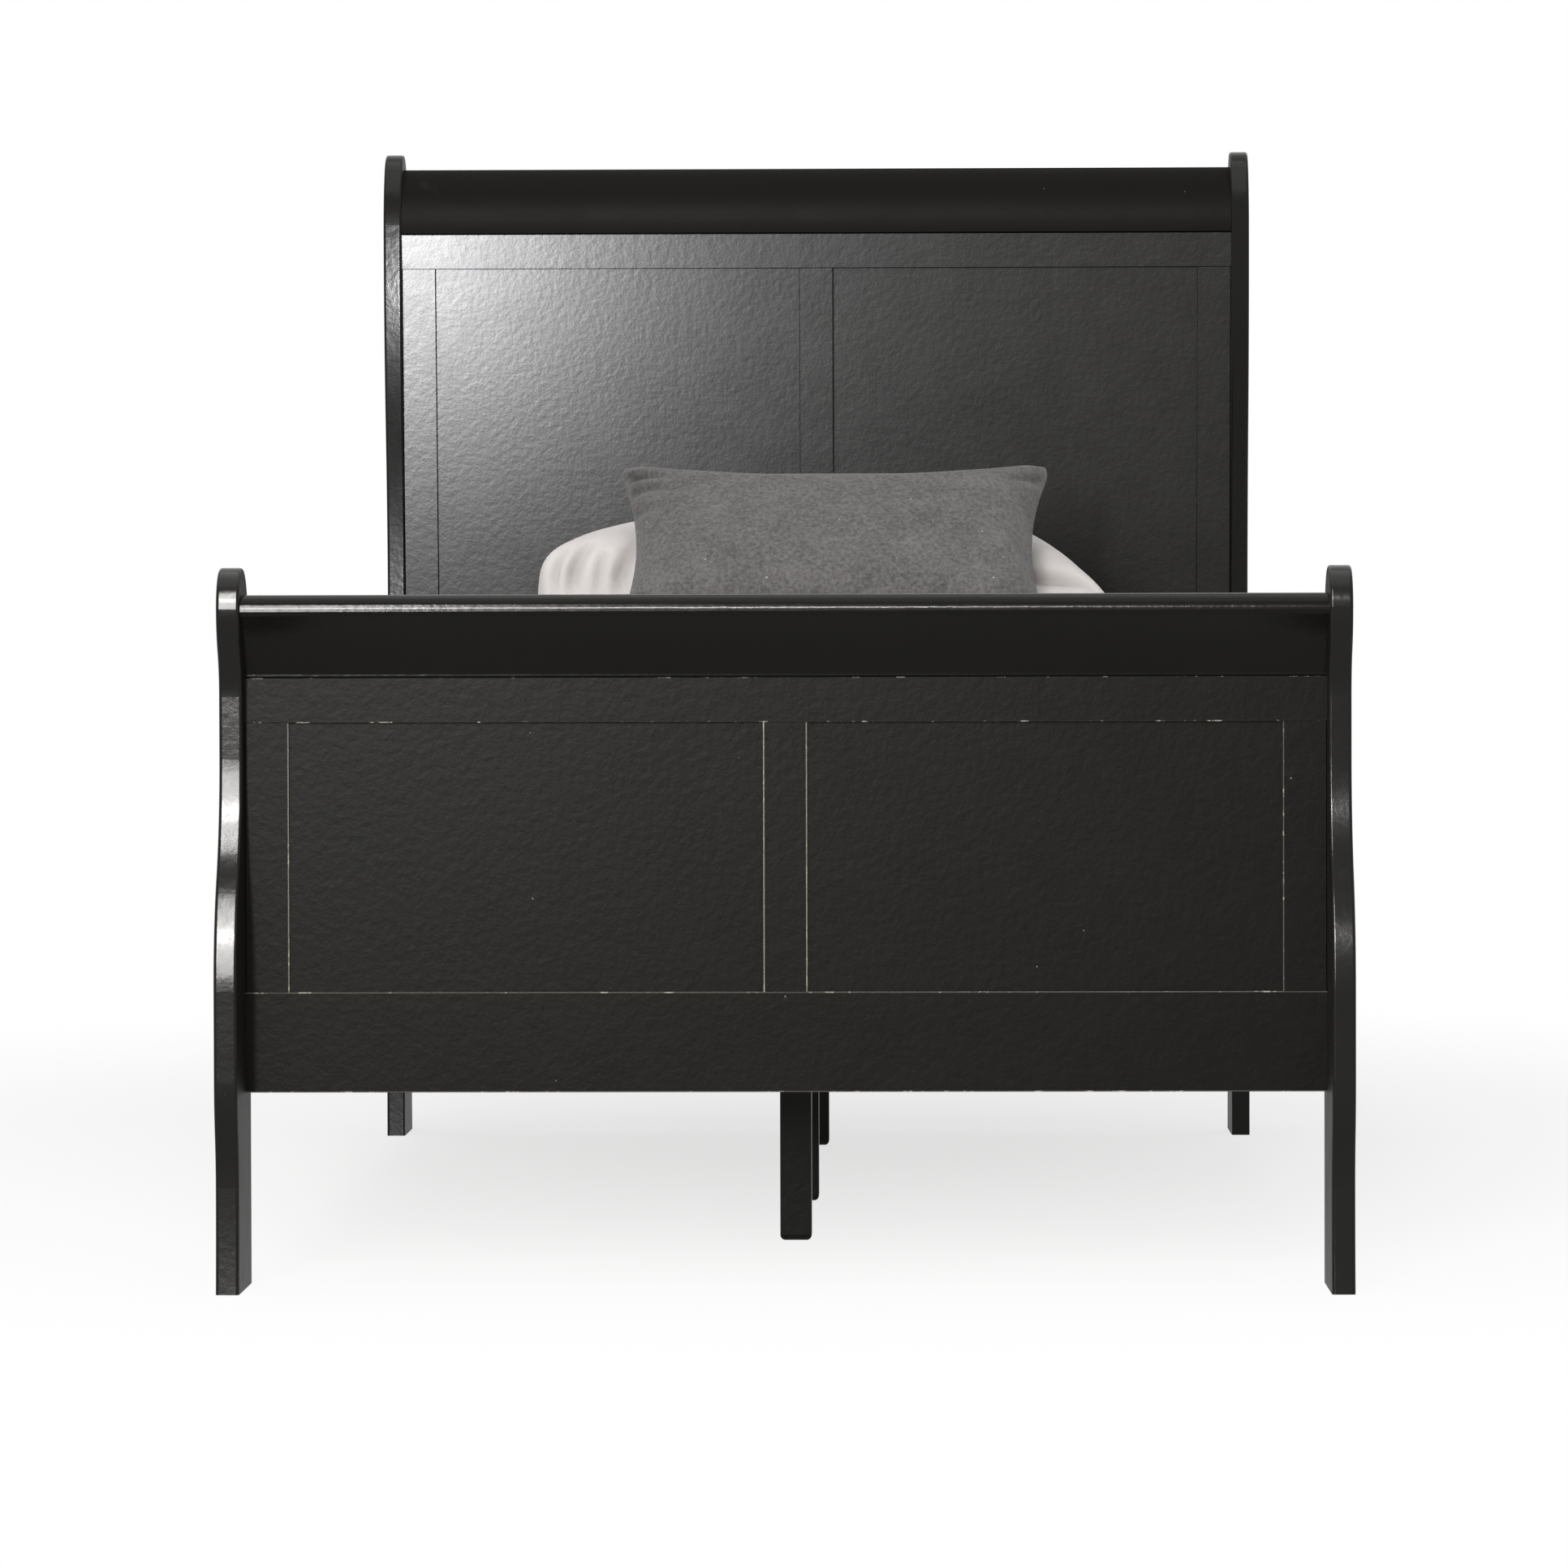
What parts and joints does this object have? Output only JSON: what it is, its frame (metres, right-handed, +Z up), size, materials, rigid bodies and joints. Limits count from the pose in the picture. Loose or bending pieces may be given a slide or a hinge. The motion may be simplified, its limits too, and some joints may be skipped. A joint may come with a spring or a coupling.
{
  "type": "sleigh bed",
  "caption": "Twin sleigh bed with scrolled posts, coved crest rails and framed panel boards, made up with a foundation, mattress and pillows.",
  "frame": {"origin": "on the floor, at the centre of the bed's outer box", "axes": "+X to the right seen from the foot end, +Y towards the headboard, +Z up"},
  "size_m": [1.067, 2.181, 1.2157],
  "materials": {
    "black_lacquer": "satin black lacquer on wood",
    "bare_pine": "bare sawn pine",
    "zinc_steel": "zinc plated",
    "foundation_cloth": "plain woven cover",
    "mattress_ticking": "quilted knit ticking",
    "white_cotton": "plain cotton",
    "grey_felt": "heathered napped cloth"
  },
  "bodies": {
    "bed_frame": {"footboard_post_left": "black_lacquer", "footboard_post_right": "black_lacquer", "footboard_crest_rail": "black_lacquer", "footboard_top_rail": "black_lacquer", "footboard_bottom_rail": "black_lacquer", "footboard_stile_left": "black_lacquer", "footboard_stile_right": "black_lacquer", "footboard_centre_stile": "black_lacquer", "footboard_panel_left": "black_lacquer", "footboard_panel_right": "black_lacquer", "headboard_post_left": "black_lacquer", "headboard_post_right": "black_lacquer", "headboard_crest_rail": "black_lacquer", "headboard_top_rail": "black_lacquer", "headboard_bottom_rail": "black_lacquer", "headboard_stile_left": "black_lacquer", "headboard_stile_right": "black_lacquer", "headboard_centre_stile": "black_lacquer", "headboard_panel_left": "black_lacquer", "headboard_panel_right": "black_lacquer", "side_rail_left": "black_lacquer", "side_rail_right": "black_lacquer", "support_leg_1": "black_lacquer", "support_leg_2": "black_lacquer", "support_leg_3": "black_lacquer", "slat_ledger_left": "bare_pine", "slat_ledger_right": "bare_pine", "slat_1": "bare_pine", "slat_2": "bare_pine", "slat_3": "bare_pine", "slat_4": "bare_pine", "slat_5": "bare_pine", "rail_hook_plates": "zinc_steel", "rail_hook_pins": "zinc_steel", "ledger_screws": "zinc_steel", "slat_screws": "zinc_steel", "support_leg_bolts": "zinc_steel"},
    "foundation": {"foundation": "foundation_cloth"},
    "mattress": {"mattress": "mattress_ticking"},
    "white_pillow": {"white_pillow": "white_cotton"},
    "grey_pillow": {"grey_pillow": "grey_felt"}
  },
  "joints": [
    {"name": "foundation_lift", "type": "slide", "parent": "bed_frame", "child": "foundation", "axis": [0, 0, 1], "range_m": [0, 0.45]},
    {"name": "mattress_lift", "type": "slide", "parent": "foundation", "child": "mattress", "axis": [0, 0, 1], "range_m": [0, 0.3]},
    {"name": "white_pillow_lift", "type": "slide", "parent": "mattress", "child": "white_pillow", "axis": [0, 0, 1], "range_m": [0, 0.3]},
    {"name": "grey_pillow_lift", "type": "slide", "parent": "white_pillow", "child": "grey_pillow", "axis": [0, 0, 1], "range_m": [0, 0.3]}
  ]
}
